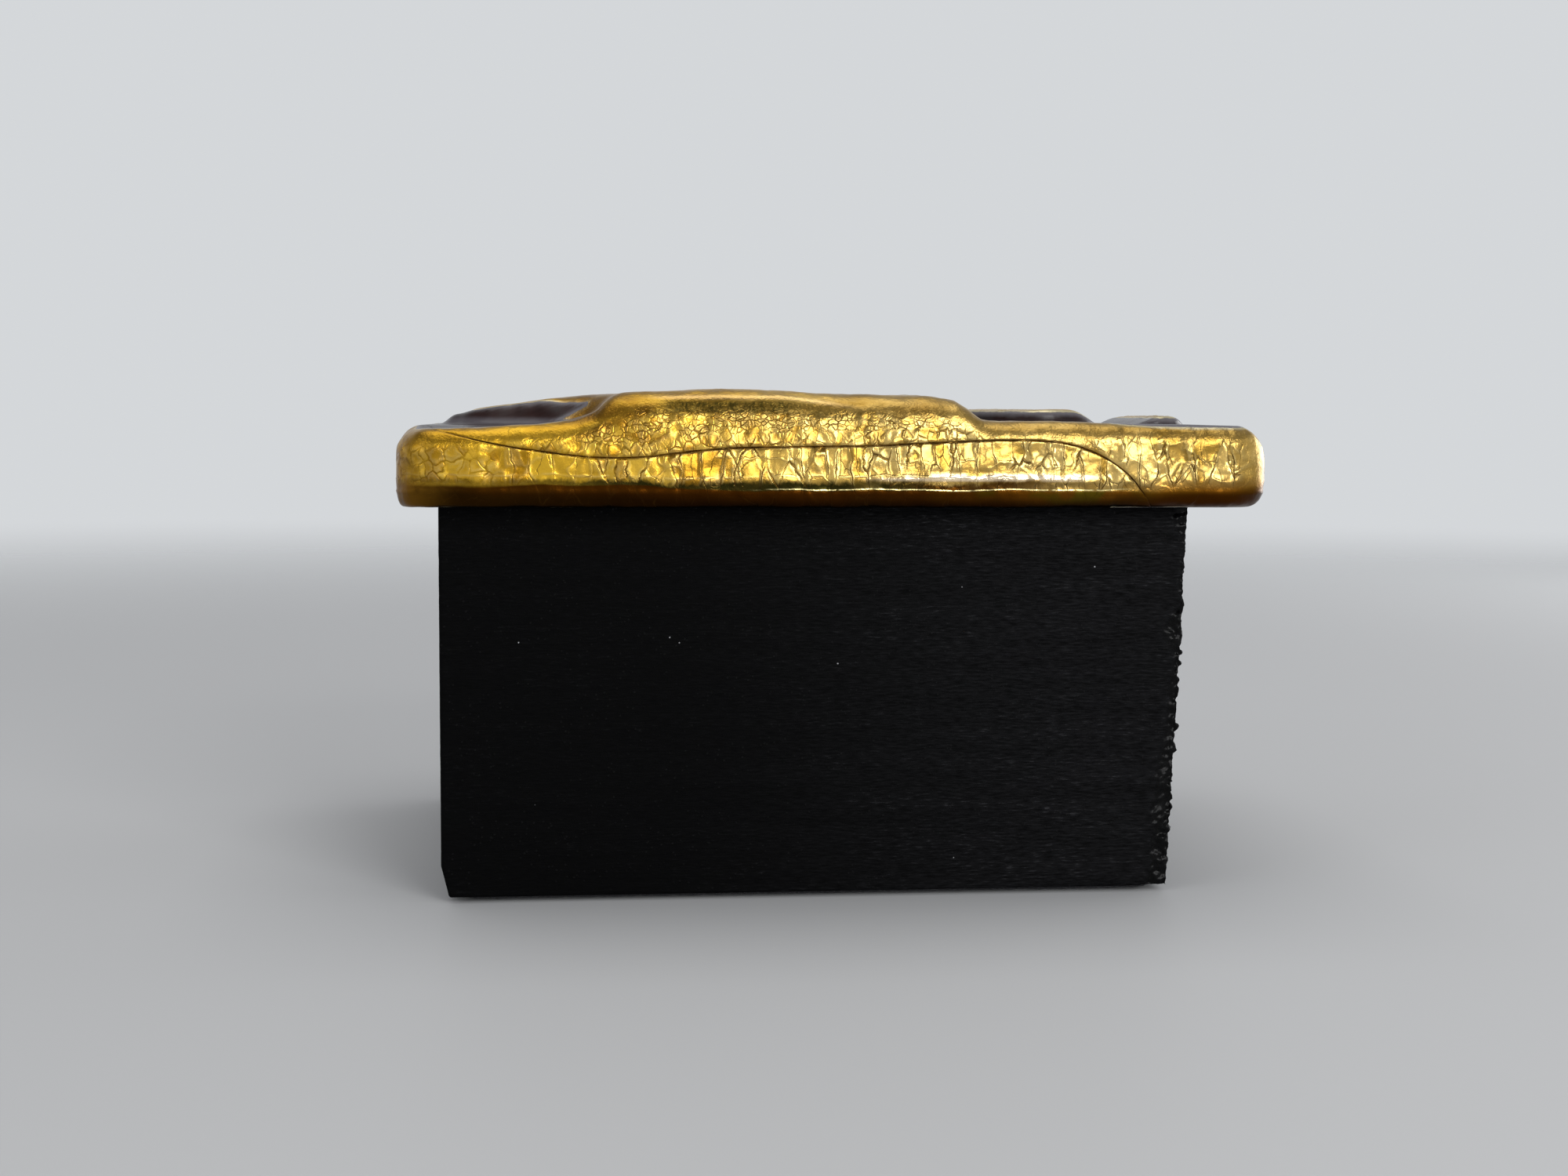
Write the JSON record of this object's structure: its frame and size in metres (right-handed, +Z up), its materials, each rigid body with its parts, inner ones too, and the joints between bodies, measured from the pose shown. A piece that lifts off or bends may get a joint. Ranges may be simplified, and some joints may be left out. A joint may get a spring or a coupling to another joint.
{
  "type": "jewelry box",
  "caption": "Felt-lined wooden box hollowed from one painted block, with a lift-off gold-glazed ceramic lid that a board locates in the hollow.",
  "frame": {"origin": "middle of the underside of the felt that the box stands on", "axes": "+Z up, the way the lid lifts off; the front faces -Y; +X runs right along the front, towards the torn end"},
  "size_m": [0.145, 0.117, 0.0858],
  "materials": {
    "gold_crackle_glaze": "bright gold lustre over crackled glaze, amber where it is thin at the lower edge, dark aubergine glaze in the channels",
    "black_painted_wood": "matt black paint over raised grain",
    "dark_felt": "pressed wool felt",
    "lining_felt": "pressed wool felt",
    "adhesive": "cured contact adhesive"
  },
  "bodies": {
    "base": {"base_block": "black_painted_wood", "sole_felt": "dark_felt", "cavity_floor_felt": "lining_felt", "front_wall_felt": "lining_felt", "back_wall_felt": "lining_felt"},
    "lid": {"lid_lower_slab": "gold_crackle_glaze", "lid_upper_slab": "gold_crackle_glaze", "right_plate": "gold_crackle_glaze", "low_plate": "gold_crackle_glaze", "middle_plate": "gold_crackle_glaze", "back_left_plate": "gold_crackle_glaze", "corner_plate": "gold_crackle_glaze", "back_plate": "gold_crackle_glaze", "back_right_plate": "gold_crackle_glaze", "bead_plate": "gold_crackle_glaze", "locating_board": "black_painted_wood", "board_felt": "lining_felt", "adhesive_pads": "adhesive"}
  },
  "joints": [
    {"name": "lid_lift", "type": "slide", "parent": "base", "child": "lid", "axis": [0, 0, 1], "range_m": [0, 0.06]}
  ]
}
